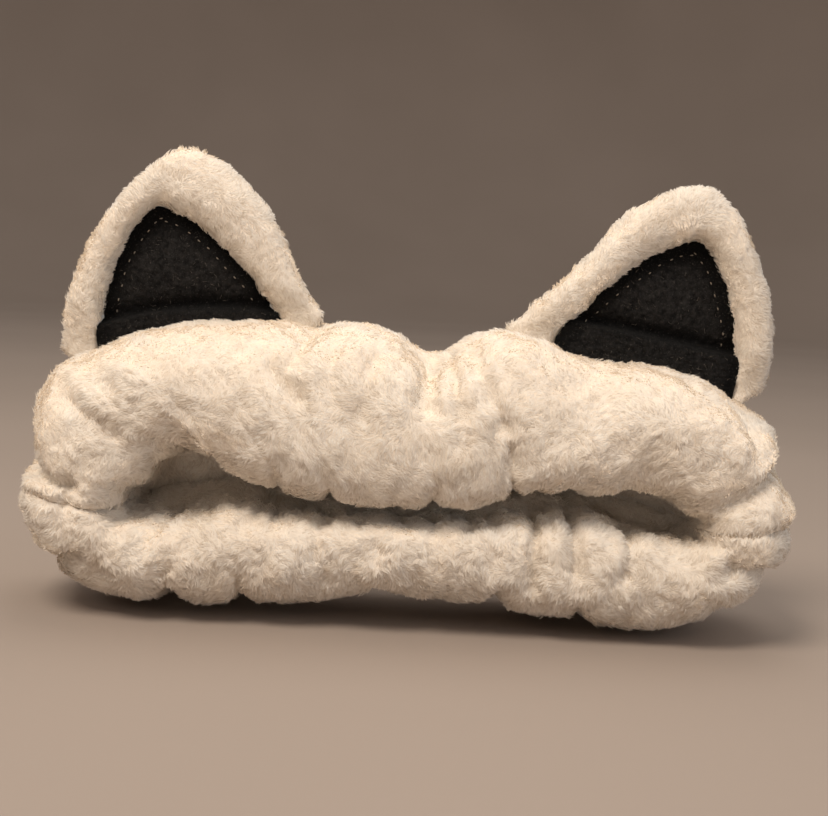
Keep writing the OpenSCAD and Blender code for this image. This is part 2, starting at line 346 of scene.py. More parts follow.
def catmull(p, u, axis, closed):
    """Grid p sampled at fractional places u along an axis, by Catmull-Rom curves."""
    n = p.shape[axis]
    i = np.floor(u).astype(int)
    f = (u - i).reshape([-1 if a == axis else 1 for a in range(p.ndim)])

    def row(k):
        j = np.mod(i + k, n) if closed else np.clip(i + k, 0, n - 1)
        return np.take(p, j, axis)

    a, b, c, d = row(-1), row(0), row(1), row(2)
    square, cube = 2 * a - 5 * b + 4 * c - d, 3 * b - a - 3 * c + d
    return 0.5 * (2 * b + (c - a) * f + square * f ** 2 + cube * f ** 3)


def grid_faces(nu, nv, closed_u, closed_v):
    u = np.arange(nu if closed_u else nu - 1)[:, None]
    v = np.arange(nv if closed_v else nv - 1)[None, :]
    u2, v2 = (u + 1) % nu, (v + 1) % nv
    corners = np.broadcast_arrays(u * nv + v, u * nv + v2, u2 * nv + v2, u2 * nv + v)
    return np.stack(corners, -1).reshape(-1, 4)


def link(ob):
    bpy.context.scene.collection.objects.link(ob)


def mesh_object(name, points, faces, material):
    """A smooth-shaded mesh object from points in millimetres and lists of faces."""
    mesh = bpy.data.meshes.new(name)
    mesh.from_pydata((np.asarray(points).reshape(-1, 3) * MM).tolist(), [], faces)
    mesh.validate()
    mesh.polygons.foreach_set("use_smooth", [True] * len(mesh.polygons))
    mesh.materials.append(material)
    ob = bpy.data.objects.new(name, mesh)
    link(ob)
    return ob


def ride_loop(ob):
    """Bakes a piece of the loop's placement into its mesh."""
    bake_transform(ob)


def add_values(ob, name, values):
    layer = ob.data.attributes.new(name, "FLOAT", "POINT")
    layer.data.foreach_set("value", np.asarray(values, np.float32).ravel())


# ---- cloth ----

CLOTH_SCALE = 10  # the skin is blown up at this scale, where the cloth solver is steadier
CLOTH_FRAMES = 18
CLOTH = {
    "quality": 5, "mass": 0.2, "tension_stiffness": 12, "compression_stiffness": 12, "shear_stiffness": 6,
    "bending_stiffness": 3, "air_damping": 2, "use_pressure": True, "uniform_pressure_force": 4.0,
    "shrink_min": -0.03, "shrink_max": -0.03, "pin_stiffness": 1.0,
}


def cloth_skin(points, faces, pins):
    """A skin with cloth on it, held where pins is 1."""
    mesh = bpy.data.meshes.new("skin")
    mesh.from_pydata((points * MM * CLOTH_SCALE).tolist(), [], faces.tolist())
    ob = bpy.data.objects.new("skin", mesh)
    link(ob)
    group = ob.vertex_groups.new(name="held")
    for level in range(1, 11):
        chosen = np.nonzero(np.round(pins * 10) == level)[0]
        if len(chosen):
            group.add(chosen.tolist(), level / 10, "REPLACE")
    cloth = ob.modifiers.new("Cloth", "CLOTH")
    cloth.point_cache.frame_start, cloth.point_cache.frame_end = 1, CLOTH_FRAMES
    for name, value in CLOTH.items():
        setattr(cloth.settings, name, value)
    cloth.settings.vertex_group_mass = "held"
    cloth.settings.effector_weights.gravity = 0
    cloth.collision_settings.use_collision = False
    return ob


def inflate(points, faces, pins):
    """How a closed skin moves when cloth simulation blows it up, at most by BLOWN_MOST."""
    ob = cloth_skin(points, faces, pins)
    scene = bpy.context.scene
    for f in range(1, CLOTH_FRAMES + 1):
        scene.frame_set(f)
    result = ob.evaluated_get(bpy.context.evaluated_depsgraph_get()).data
    moved = np.empty(len(result.vertices) * 3)
    result.vertices.foreach_get("co", moved)
    scene.frame_set(1)
    bpy.data.objects.remove(ob)
    step = moved.reshape(-1, 3) / (MM * CLOTH_SCALE) - points
    far = np.linalg.norm(step, axis=1, keepdims=True)
    return step * np.minimum(1, BLOWN_MOST / np.maximum(far, 1e-9))


LOOP_NU, LOOP_NV = 324, 60  # points of the skin along the loop, and round it
SKIN_INSET = 2.3  # how far inside the headband's outline the skin starts
BLOWN_MOST = 2.2  # the most that the cloth may move


def soft_floor(z, floor, ease):
    """Heights kept above a floor, bending over within ease of it."""
    low = z - floor
    return floor + np.where(low > ease, low, np.maximum(low + ease, 0) ** 2 / (4 * ease))


def press(p, along):
    """Keeps the strands out of each other and the ground, and closes the gap between them."""
    upper = (np.mod(along, LOOP_LEN) < LEFT_SEAM) * np.ones(p.shape[:2], bool)
    x, y, z = p[..., 0], p[..., 1], p[..., 2]
    within = smooth((HALF_OPEN - 3 - np.abs(x - OPEN_X)) / 8)
    side = np.where(upper, 1, -1)
    off = (z - slit_z(x, y)) * side
    need = CONTACT + 0.85 * np.where(upper, *lips(x, y))
    apart = np.maximum(need - off, 0) * (off < 12)
    together = np.maximum(off - need, 0) * bump(y, CLOSED_Y, 5) * smooth((need + 5 - off) / 2)
    p[..., 2] += side * (apart - together) * within
    p[..., 2] = soft_floor(p[..., 2], 0.5, 1.6)
    return p


def loop_skin():
    """The whole loop's skin as a closed grid: creased, then blown up between the creases."""
    along = np.linspace(0, LOOP_LEN, LOOP_NU, endpoint=False)[:, None]
    v = np.linspace(0, 360, LOOP_NV, endpoint=False)[None, :]
    skin = loop_points(turn_of(along), v, SKIN_INSET)
    normals = grid_normals(skin, True, True)
    depth = np.maximum(fold_depth(skin), gather_depth(along, v))
    skin = skin - normals * depth[..., None]
    pins = np.clip(depth / 2.0, 0.02, 1)
    faces = grid_faces(LOOP_NU, LOOP_NV, True, True)
    moves = inflate(skin.reshape(-1, 3), faces, pins.ravel()).reshape(skin.shape)
    for axis in (0, 1, 0, 1):
        moves = 0.5 * moves + 0.25 * (np.roll(moves, 1, axis) + np.roll(moves, -1, axis))
    return press(skin + moves, along)


# ---- materials ----

def new_material(name):
    material = bpy.data.materials.new(name)
    material.use_nodes = True
    tree = material.node_tree
    coords = tree.nodes.new("ShaderNodeTexCoord").outputs["Object"]
    return material, tree, tree.nodes["Principled BSDF"], coords


def add_node(tree, kind, **inputs):
    node = tree.nodes.new(kind)
    for key, value in inputs.items():
        node.inputs[key].default_value = value
    return node


def noise(tree, scale, detail, rough, coords):
    node = add_node(tree, "ShaderNodeTexNoise", Scale=scale, Detail=detail, Roughness=rough)
    tree.links.new(coords, node.inputs["Vector"])
    return node.outputs["Fac"]


def ramp(tree, source, stops):
    """Colour that changes with a value, by stops of (value, colour)."""
    node = tree.nodes.new("ShaderNodeValToRGB")
    ends = node.color_ramp.elements
    for end, (place, colour) in ((ends[0], stops[0]), (ends[1], stops[-1])):
        end.position = place
        end.color = (*colour, 1)
    for place, colour in stops[1:-1]:
        ends.new(place).color = (*colour, 1)
    tree.links.new(source, node.inputs["Fac"])
    return node.outputs["Color"]


def mix(tree, kind, factor, a, b):
    node = tree.nodes.new("ShaderNodeMix")
    node.data_type = "RGBA"
    node.blend_type = kind
    for socket, value in ((node.inputs[0], factor), (node.inputs[6], a), (node.inputs[7], b)):
        if isinstance(value, bpy.types.NodeSocket):
            tree.links.new(value, socket)
        else:
            socket.default_value = value
    return node.outputs[2]


def finish_shader(tree, shader, colour, relief, strength, distance, gloss):
    """Joins a colour and a noise's relief to the shader, and sets its own sockets."""
    tree.links.new(colour, shader.inputs["Base Color"])
    node = add_node(tree, "ShaderNodeBump", Strength=strength, Distance=distance)
    tree.links.new(relief, node.inputs["Height"])
    tree.links.new(node.outputs["Normal"], shader.inputs["Normal"])
    for socket, value in gloss.items():
        shader.inputs[socket].default_value = value


def attribute(tree, name):
    node = tree.nodes.new("ShaderNodeAttribute")
    node.attribute_name = name
    return node.outputs["Fac"]


CREAM_LIGHT = (0.92, 0.86, 0.785)
CREAM = (0.92, 0.85, 0.76)
# The deepest cream is painted shade: the pile's depths, at the tufts' roots and on the backing between them.
CREAM_IN_SHADE = (0.88, 0.79, 0.69)
TUFT_TONES = [(0.0, (0.81, 0.77, 0.72)), (0.55, (0.95, 0.94, 0.93)), (1.0, (1.0, 1.0, 0.99))]
# the felt's bare black, which is also the painted shade where the fuzz mask falls to 0
FELT_BLACK_AND_SHADE = (0.003, 0.003, 0.003, 1)
FELT_MATTED = [(0.38, (0.004, 0.004, 0.004)), (0.70, (0.030, 0.028, 0.027))]


def fleece_material():
    """Backing under the pile: painted shade keeps it a little darker than the tufts' tips, in random patches,
    with a mottled nap.
    """
    material, tree, shader, coords = new_material("cream_fleece")
    patches = noise(tree, 55, 3, 0.5, coords)
    nap = noise(tree, 900, 5, 0.65, coords)
    # random patches, all darker than the tufts' tips as painted shade under the pile
    tone = ramp(tree, patches, [(0.3, CREAM_IN_SHADE), (0.72, CREAM)])
    grain = ramp(tree, nap, [(0.3, (0.86, 0.84, 0.81)), (0.65, (1, 1, 1))])
    colour = mix(tree, "MULTIPLY", 0.8, tone, grain)
    gloss = {"Roughness": 0.92, "Sheen Weight": 0.25, "Sheen Roughness": 0.5}
    finish_shader(tree, shader, colour, nap, 0.6, 0.0006, gloss)
    return material


def pile_material():
    """Fibre tufts: painted shade, deep cream at the root, pale at the tip, each of its own tone."""
    material, tree, shader, coords = new_material("cream_pile")
    patches = noise(tree, 70, 3, 0.5, coords)
    # painted shade: each tuft darkens from its tip towards its root, deep in the pile
    body = ramp(tree, attribute(tree, "tip"), [(0.0, CREAM_IN_SHADE), (0.45, CREAM), (1.0, CREAM_LIGHT)])
    shade = ramp(tree, attribute(tree, "tone"), TUFT_TONES)
    mottled = ramp(tree, patches, [(0.32, (0.93, 0.90, 0.86)), (0.66, (1, 1, 1))])
    colour = mix(tree, "MULTIPLY", 1.0, body, shade)
    colour = mix(tree, "MULTIPLY", 0.8, colour, mottled)
    fibres = noise(tree, 2600, 3, 0.6, coords)
    gloss = {"Roughness": 0.7, "Sheen Weight": 0.3, "Sheen Roughness": 0.4}
    finish_shader(tree, shader, colour, fibres, 0.3, 0.0002, gloss)
    return material


def felt_material():
    """Black needle felt: matted fibres, greyer with fuzz in the middle; painted shade keeps it near black
    along its edge and just above its fold.
    """
    material, tree, shader, coords = new_material("black_felt")
    matted = noise(tree, 620, 6, 0.75, coords)
    specks = noise(tree, 2100, 4, 0.7, coords)
    fuzz = ramp(tree, matted, FELT_MATTED)
    # the nap mask mixes fuzz with painted shade: near black where it falls to 0, along the felt's edge and
    # just above its fold
    felt = mix(tree, "MIX", attribute(tree, "nap"), FELT_BLACK_AND_SHADE, fuzz)
    lint = ramp(tree, specks, [(0.58, (0, 0, 0)), (0.76, (0.075, 0.068, 0.060))])
    gloss = {"Roughness": 0.95, "Specular IOR Level": 0.15}
    finish_shader(tree, shader, mix(tree, "ADD", 1.0, felt, lint), matted, 0.9, 0.0006, gloss)
    return material


def fibre_material(name, dark, pale, scale, rough=0.75):
    """Thread, wadding or elastic, by its two colours and the size of its fibres."""
    material, tree, shader, coords = new_material(name)
    strands = noise(tree, scale, 5, 0.6, coords)
    tone = ramp(tree, strands, [(0.32, dark), (0.68, pale)])
    finish_shader(tree, shader, tone, strands, 0.7, 0.0003, {"Roughness": rough})
    return material


FLEECE = fleece_material()
PILE = pile_material()
FELT = felt_material()
THREAD = fibre_material("thread", (0.55, 0.50, 0.43), (0.80, 0.75, 0.67), 2200)
TOPSTITCH = fibre_material("topstitch", (0.20, 0.165, 0.13), (0.42, 0.36, 0.29), 2200)
LINT = fibre_material("lint", (0.08, 0.07, 0.06), (0.24, 0.20, 0.16), 1800)
ELASTIC = fibre_material("woven_elastic", (0.62, 0.60, 0.56), (0.86, 0.85, 0.81), 1300, 0.6)
WADDING = fibre_material("wadding", (0.80, 0.80, 0.78), (0.95, 0.95, 0.93), 500, 0.9)


# ---- the pile ----

PILE_DENSITY = 2.9  # tufts on a square millimetre
NAP_H = 0.66  # how far a tuft's tip stands off its root
NAP_ROUND = 0.45  # how round the nap is shaded across a tuft
TUFT_R = 0.25  # half the width of a tuft
TUFT_LEAN = 1.7  # how far a tuft's tip leans along the surface
CLUMP = 1.9  # spacing of the clumps that tufts mat into


def clump_centres(p, seed):
    """The nearest of a jittered lattice of clump centres to each point."""
    cell = np.floor(p / CLUMP).astype(np.int64)
    best = np.full(len(p), np.inf)
    centre = np.zeros_like(p)
    for offset in np.ndindex(3, 3, 3):
        c = cell + np.array(offset) - 1
        key = (c[:, 0] * 73856093) ^ (c[:, 1] * 19349663) ^ (c[:, 2] * 83492791) ^ seed
        jitter = np.stack([np.mod(key * m, 1009) / 1009 for m in (131, 337, 719)], -1)
        place = (c + jitter) * CLUMP
        d = np.sum((place - p) ** 2, -1)
        nearer = d < best
        best = np.where(nearer, d, best)
        centre[nearer] = place[nearer]
    return centre


def scatter(p, normals, closed_u, closed_v, rng):
    """Even random places on a grid: positions, normals, tangents, and fractional places along it."""
    nu, nv = p.shape[:2]
    du, dv = slopes(p, closed_u, closed_v)
    area = np.linalg.norm(np.cross(du, dv), axis=-1)
    if not closed_u:
        area[-1] = 0
    if not closed_v:
        area[:, -1] = 0
    sums = np.cumsum(area.ravel())
    count = int(sums[-1] * PILE_DENSITY)
    picks = np.searchsorted(sums, (np.arange(count) + rng.uniform(0, 1, count)) / count * sums[-1])
    i, j = np.divmod(np.minimum(picks, nu * nv - 1), nv)
    fu, fv = rng.uniform(0, 1, count), rng.uniform(0, 1, count)
    i2 = (i + 1) % nu if closed_u else np.minimum(i + 1, nu - 1)
    j2 = (j + 1) % nv if closed_v else np.minimum(j + 1, nv - 1)

    def at(grid):
        a, b, c, d = grid[i, j], grid[i2, j], grid[i, j2], grid[i2, j2]
        wu, wv = fu[:, None], fv[:, None]
        return (a * (1 - wu) + b * wu) * (1 - wv) + (c * (1 - wu) + d * wu) * wv

    return at(p), unit(at(normals)), unit(at(du)), i + fu


def tufts(root, normal, side, comb, seed, height):
    """Closed three-sided tufts: their points, the normals there, and each one's tone."""
    rng = np.random.default_rng(seed)
    n = len(root)
    across = np.cross(normal, side)
    swirl = comb + 1.2 * waves(root, 30, seed + 1) + 0.6 * waves(root, 8, seed + 2) + rng.normal(0, 0.22, n)
    flow = side * np.cos(swirl)[:, None] + across * np.sin(swirl)[:, None]
    tall = height * rng.uniform(0.7, 1.2, (n, 1))
    long = TUFT_LEAN * rng.uniform(0.6, 1.25, (n, 1))
    tip = root + normal * tall + flow * long
    centre = clump_centres(root, seed)
    off = centre - root
    off -= normal * np.sum(off * normal, -1, keepdims=True)
    tip += 0.45 * off
    middle = root + 0.66 * (normal * tall) + 0.42 * (flow * long) + 0.14 * off
    wide = unit(np.cross(flow, normal))
    radius = TUFT_R * rng.uniform(0.75, 1.3, (n, 1))
    rings, facing = [], []
    for place, up, size in ((root - 0.5 * normal, -flow, 1.0), (middle, unit(normal - 0.5 * flow), 0.85)):
        for angle in (90, 210, 330):
            a = radians(angle)
            spoke = wide * cos(a) * 1.2 + up * sin(a) * 0.35
            rings.append(place + radius * size * spoke)
            facing.append(unit(normal + NAP_ROUND * spoke))
    points = np.stack([*rings, tip], 1)
    facing = np.stack([*facing, unit(normal + 0.5 * NAP_ROUND * flow)], 1)
    return points, facing, np.clip(0.5 + 0.28 * rng.normal(size=n) + 0.2 * waves(centre, 5, seed + 3), 0, 1)


TUFT_TIPS = (0, 0, 0, 0.55, 0.55, 0.55, 1.0)  # how near the tip a tuft's points are
TUFT_POINTS = len(TUFT_TIPS)
TUFT_FACES = ((0, 1, 2), (3, 4, 1, 0), (4, 5, 2, 1), (5, 3, 0, 2), (6, 4, 3), (6, 5, 4), (6, 3, 5))
TUFT_UNDERSIDES = (0, 2, 5)


def tuft_object(name, points, facing, tone):
    """The tufts as one mesh, shaded with the nap on top and by their own faces beneath."""
    starts = range(0, TUFT_POINTS * len(points), TUFT_POINTS)
    faces = [tuple(base + k for k in face) for base in starts for face in TUFT_FACES]
    ob = mesh_object(name, points, faces, PILE)
    corners = []
    for i, face in enumerate(TUFT_FACES):
        a, b, c = (points[:, k] for k in face[:3])
        own = unit(np.cross(b - a, c - b))
        corners += [own if i in TUFT_UNDERSIDES else facing[:, k] for k in face]
    ob.data.normals_split_custom_set(np.stack(corners, 1).reshape(-1, 3).tolist())
    ob.visible_shadow = False
    add_values(ob, "tip", np.tile(TUFT_TIPS, len(points)))
    add_values(ob, "tone", np.repeat(tone, TUFT_POINTS))
    return ob


# ---- the sleeves ----

FINE_NU, FINE_NV = 560, 160  # points of a sleeve's fleece along it, and round it
SEAM_GAP = 0.1  # gap between the two sleeves' ends, along the strand
SEAM_TUCK = 0.9  # how far their fleece turns in there


def ride_tube(ob):
    """A tube along the loop: bakes its placement into its mesh, as ride_loop does."""
    ride_loop(ob)


def mat_noise(p, normals):
    """The matted nap's own relief."""
    relief = 0.22 * waves(p, 9, 21) + 0.12 * waves(p, 3.2, 22) + 0.07 * waves(p, 1.6, 23)
    return p + normals * relief[..., None]


def sleeve_surface(skin, start, end):
    """A fine grid of one sleeve's skin, from start to end along the loop."""
    along = np.linspace(start + SEAM_GAP, end - SEAM_GAP, FINE_NU)
    p = catmull(skin, along / LOOP_LEN * LOOP_NU, 0, True)
    p = catmull(p, np.arange(FINE_NV) / FINE_NV * LOOP_NV, 1, True)
    normals = grid_normals(p)
    tuck = SEAM_TUCK * np.exp(-((np.minimum(along - start, end - along) / 0.9) ** 2))
    p = mat_noise(p, normals) - normals * tuck[:, None, None]
    p[..., 2] = soft_floor(p[..., 2], 0.4, 0.6)
    return p, along


def capped_grid(name, p, material):
    """A tube from a grid of points, closed at both ends."""
    nu, nv = p.shape[:2]
    centres = np.stack([p[0].mean(0), p[-1].mean(0)])
    ring = np.arange(nv)
    faces = grid_faces(nu, nv, False, True).tolist()
    for row, centre in ((0, nu * nv), (nu - 1, nu * nv + 1)):
        a, b = row * nv + ring, row * nv + (ring + 1) % nv
        if row > 0:
            a, b = b, a
        faces += [(int(x), centre, int(y)) for x, y in zip(a, b)]
    return mesh_object(name, np.concatenate([p.reshape(-1, 3), centres]), faces, material)


def make_sleeve(skin, word, start, end, comb, parts, seed):
    p, along = sleeve_surface(skin, start, end)
    fleece = capped_grid(f"{word}_fleece", p, FLEECE)
    ride_tube(fleece)
    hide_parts(f"{word}_sleeve")

    rng = np.random.default_rng(seed)
    root, normal, side, place = scatter(p, grid_normals(p), False, True, rng)
    height = NAP_H * np.where(root[:, 2:3] < 2.5, 0.35, 1.0)
    points, facing, tone = tufts(root, normal, side, comb, seed, height)
    points[..., 2] = np.maximum(points[..., 2], 0.05)
    for k, chosen in enumerate(np.array_split(np.argsort(place, kind="stable"), parts)):
        ob = tuft_object(f"{word}_pile_{k + 1}", points[chosen], facing[chosen], tone[chosen])
        ride_loop(ob)


# ---- the ears ----

EAR_H = 49.4  # an ear's height above its seam, and half its width there
EAR_HALF_W = 35.6
FELT_H = 34.8  # the same for the felt that shows
FELT_HALF_W = 25.0
EAR_ROOT = -7.0  # how far an ear's skin goes down into the strand
OUTLINE_A = 1.3  # the curve of the ear's sides, of its tip, and of the felt's tip
OUTLINE_B = 0.6
FELT_B = 0.66
EAR_NP, EAR_NQ = 300, 64  # points of an ear's skin along its outline, and across it
FELT_NR = 60  # points across the felt
FELT_Y = -0.6  # depth of the felt's face in the middle
RIM_FRONT = 6.6  # how far the rolled border stands forward
PILLOW_BACK = 8.8  # how far the back panel stands out
FOLD_Z = 5.6  # height of the crease across the felt
FOLD_OUT = 3.4  # how far the felt bulges forward below it
FELT_THICK = 1.2
LINT_COUNT = 90  # loose fibres on each felt panel, their length, and half their thickness
LINT_LONG = 1.2
LINT_R = 0.045
# Each ear: its tip's lean, which way is outward, its outer and inner sides' bulge with its height and spread,
# the flare of its inner foot, and the shift of the felt's foot and tip.
EARS = {
    "left": {"tip": 4.6, "outward": -1, "outer": (1.6, 26, 15), "inner": (-1.7, 13, 10), "flare": 1.6,
             "felt_foot": 0.4, "felt_tip": -3.7, "seed": 31},
    "right": {"tip": 6.0, "outward": 1, "outer": (1.4, 20, 14), "inner": (-4.2, 20, 15), "flare": 1.8,
              "felt_foot": 2.1, "felt_tip": 7.6, "seed": 41},
}
FLARE_H = 2.6  # height over which an ear's foot spreads onto the strand
FOOT_IN = 6.0  # how far its sides turn in below the seam, inside the strand
BACKWARD = np.array([0, 1.0, 0])


def ear_frame(word):
    """An ear's own frame: origin on its base seam, X along the seam, Y back, Z to the tip."""
    joint = next(j for j in frame["joints"] if j["name"] == f"{word}_ear_fold")
    x = unit(np.array(joint["axis"], float))
    return np.array(joint["pos_m"], float) / MM, np.stack([x, BACKWARD, np.cross(x, BACKWARD)])


def to_row(local, word):
    """Points of an ear's own frame, in the shared frame."""
    origin, axes = ear_frame(word)
    return origin + local @ axes


def lift(plane, y):
    """Points of a flat outline, x and z, at a depth y."""
    return np.stack([plane[..., 0], y, plane[..., 1]], -1)


def arch(width, height, tip_power):
    """Evenly spaced points of an ear-shaped arch, from its left foot to its right foot."""
    u = np.linspace(0, 1, 1200) ** 1.6
    z = height * u
    x = width * np.maximum(1 - u ** OUTLINE_A, 0) ** tip_power
    up, down = np.stack([-x, z], -1), np.stack([x, z], -1)[::-1]
    dense = np.concatenate([[[-width, EAR_ROOT]], up, down, [[width, EAR_ROOT]]])
    run = run_along(dense)
    at = np.linspace(0, run[-1], EAR_NP)
    return np.stack([np.interp(at, run, dense[:, k]) for k in (0, 1)], -1)


def ear_outline(ear):
    p = arch(EAR_HALF_W, EAR_H, OUTLINE_B)
    away = p[:, 0] * ear["outward"] > 0
    z = p[:, 1]
    (more, more_z, more_w), (less, less_z, less_w) = ear["outer"], ear["inner"]
    outer_side = more * bump(z, more_z, more_w)
    inner_side = less * bump(z, less_z, less_w) + ear["flare"] * bump(np.maximum(z, 0), 0, FLARE_H)
    turned_in = FOOT_IN * smooth(z / EAR_ROOT)
    spread = np.where(away, outer_side, inner_side) - turned_in
    p[:, 0] += np.sign(p[:, 0]) * spread + ear["tip"] * z / EAR_H
    return p


def felt_outline(ear):
    p = arch(FELT_HALF_W, FELT_H, FELT_B)
    p[:, 0] += ear["felt_foot"] + (ear["felt_tip"] - ear["felt_foot"]) * np.clip(p[:, 1], 0, None) / FELT_H
    return p


def fullness(z):
    """How full an ear is at a height above its seam."""
    return (0.45 + 0.55 * smooth((z + 2) / 13)) * (1 - 0.35 * smooth((z - 32) / 20))


def ear_skin(ear):
    """An ear's fleece as a grid: from the felt's edge over the rolled border and the back."""
    outer, inner = ear_outline(ear), felt_outline(ear)
    front_n = EAR_NQ // 2
    rows = []
    for q in np.linspace(0, 1, front_n):
        plane = inner + (outer - inner) * q
        full = fullness(plane[:, 1])
        bulge = (1 - np.abs(2 * q - 1) ** 2.6) ** 0.5
        y = FELT_Y + 1.3 - (RIM_FRONT + 1.3 + FELT_Y) * full * bulge - 0.3 * q
        rows.append(lift(plane, y))
    edge = rows[-1]
    foot = np.array([0.0, EAR_ROOT])
    for q in np.linspace(0, 1, EAR_NQ - front_n + 1)[1:]:
        rho = cos(q * pi / 2)
        plane = foot + (outer - foot) * rho
        y = edge[:, 1] + PILLOW_BACK * fullness(plane[:, 1]) * (1 - rho ** 2.2) ** 0.5
        rows.append(lift(plane, y))
    p = np.stack(rows, 1)
    return p[:, :-1]


def fold_z(x, word):
    """Height of the fold across the felt: an arch in the left ear, nearly straight in the right."""
    if word == "left":
        return FOLD_Z - 1.2 + 2.2 * np.cos(np.clip(x / 24, -1, 1) * pi / 2) - 0.05 * x
    return FOLD_Z + 1.2 + 0.02 * x


def felt_y(x, z, word):
    """Depth of the felt's face, with a fold low down and a bulge below it."""
    line = fold_z(x, word)
    below = smooth((line - z) / 1.1)
    hollow = 1.2 * np.exp(-(((z - line - 1.1) / 2.0) ** 2))
    belly = -1.9 * np.exp(-(((z - 17) / 9) ** 2) - (x / 14) ** 2)
    return FELT_Y + hollow + belly - FOLD_OUT * below


def felt_grid(ear, word):
    """The felt's face as a grid, and a mask of its fuzz that also holds painted shade: none along the edge,
    little just above the fold, a little less below it.
    """
    outer = felt_outline(ear)
    outer[:, 0] += np.sign(outer[:, 0]) * 0.6
    foot = np.array([ear["felt_foot"], EAR_ROOT])
    rho = np.linspace(1, 0.02, FELT_NR)
    plane = foot + (outer[:, None] - foot) * rho[None, :, None]
    x, z = plane[..., 0], plane[..., 1]
    p = lift(plane, felt_y(x, z, word) + 0.9 * np.exp(-((1 - rho) / 0.05)))
    above = z - fold_z(x, word)
    # painted shade: the mask falls to 0 along the felt's edge under the rolled border, dips just above the
    # fold, and is a little lower below it
    fuzz_and_shade = smooth((1 - rho - 0.07) / 0.16) * (1 - 0.9 * bump(above, 0.8, 1.9)) * np.where(above < 0, 0.8, 1)
    relief = 0.10 * waves(p, 2.2, 51) + 0.07 * waves(p, 1.1, 52)
    return p + BACKWARD * relief[..., None], fuzz_and_shade


def thick_sheet(name, p, thick, material):
    """A sheet with two faces and closed edges, from a grid of points."""
    nu, nv = p.shape[:2]
    back = p + thick * BACKWARD
    n = nu * nv
    front_faces = grid_faces(nu, nv, False, False)
    faces = front_faces.tolist() + (front_faces[:, ::-1] + n).tolist()
    rim = np.concatenate([np.arange(nv), np.arange(1, nu) * nv + nv - 1,
                          (nu - 1) * nv + np.arange(nv - 1)[::-1], np.arange(nu - 1)[::-1] * nv])
    faces += [(int(a), int(a) + n, int(b) + n, int(b)) for a, b in zip(rim[:-1], rim[1:])]
    return mesh_object(name, np.concatenate([p.reshape(-1, 3), back.reshape(-1, 3)]), faces, material)


def ride_ear(ob):
    """Bakes a piece of an ear's placement into its mesh."""
    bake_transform(ob)


def ear_object(word, name, local, faces, material):
    """A piece of an ear, from points in the ear's own frame."""
    ob = mesh_object(f"{word}_ear_{name}", to_row(local, word), faces, material)
    ride_ear(ob)
    return ob


STITCH_INSET = 3.6  # how far inside the felt's edge the stitches lie, and how far apart
STITCH_STEP = 3.7
STITCH_R = 0.15  # half a stitch's thickness, and half its length
STITCH_HALF = 0.42
STITCH_BENDS = 7  # rings of points along a stitch, and points in a ring
STITCH_SIDES = 6


def stitch_points(spot, along, word):
    """Rings of points along one stitch, thinner at both ends."""
    side = np.array([along[1], 0, -along[0]])
    points = []
    for f in np.arange(STITCH_BENDS) / (STITCH_BENDS - 1) * 2 - 1:
        x, z = spot + along * STITCH_HALF * f
        y = felt_y(x, z, word) - 0.3 * (1 - f * f) + 0.1
        size = STITCH_R * sqrt(max(1 - 0.8 * f * f, 0.05))
        for w in range(STITCH_SIDES):
            a = w * 2 * pi / STITCH_SIDES
            points.append(np.array([x, y, z]) + size * (side * cos(a) - BACKWARD * sin(a)))
    return points


def rod_faces(base, rings, sides):
    """Faces of a closed rod whose rings of points start at base."""
    faces = []
    for i in range(rings - 1):
        for w in range(sides):
            a, b = base + sides * i + w, base + sides * i + (w + 1) % sides
            faces.append((a + sides, b + sides, b, a))
    last = base + sides * rings - 1
    return faces + [tuple(base + w for w in range(sides)), tuple(last - w for w in range(sides))]


def make_stitches(ear, word):
    """Small arcs of thread in a row inside the felt's edge."""
    edge = felt_outline(ear)
    run = run_along(edge)
    tangent = unit(np.gradient(edge, axis=0))
    inward = np.stack([tangent[:, 1], -tangent[:, 0]], -1)
    at = np.arange(16, run[-1] - 14, STITCH_STEP)
    rng = np.random.default_rng(ear["seed"] + 7)
    points, faces = [], []
    for a in at + rng.uniform(-0.5, 0.5, len(at)):
        inset = STITCH_INSET + rng.uniform(-0.35, 0.35)
        spot = np.array([np.interp(a, run, (edge + inward * inset)[:, k]) for k in (0, 1)])
        along = unit(np.array([np.interp(a, run, tangent[:, k]) for k in (0, 1)]))
        faces += rod_faces(len(points), STITCH_BENDS, STITCH_SIDES)
        points += stitch_points(spot, along, word)
    thread = ear_object(word, "stitches", np.array(points), faces, TOPSTITCH)
    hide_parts(f"{word}_ear_topstitch")


PAD_GAP = 2.6  # gap between an ear's skin and its stuffing
PAD_FRONT = 2.7  # depth of the stuffing's front, behind the felt


def make_stuffing(ear, word):
    """A lumpy pillow behind the felt, inside the fleece."""
    outer = ear_outline(ear)
    foot = np.array([0.0, EAR_ROOT + 3])
    rho = np.cos(np.linspace(0.04, 0.5, 20) * pi)
    inner = foot + (outer - foot) * 0.86
    inner[:, 1] = np.maximum(inner[:, 1], foot[1])
    plane = foot + (inner[:, None] - foot) * rho[None, ::-1, None]
    shape = np.sqrt(np.clip(1 - rho[None, ::-1] ** 2.4, 0.0, 1)) * fullness(plane[..., 1])
    back_y = np.maximum(PILLOW_BACK * shape - PAD_GAP, 0.6)
    front = lift(plane, np.minimum(PAD_FRONT, back_y - 0.4))
    local = np.concatenate([lift(plane, back_y), front[:, ::-1]], 1)
    local += 0.25 * waves(local, 6, ear["seed"] + 5)[..., None] * BACKWARD
    ob = capped_grid(f"{word}_ear_stuffing", to_row(local, word), WADDING)
    ride_ear(ob)
    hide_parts(f"{word}_ear_wadding")


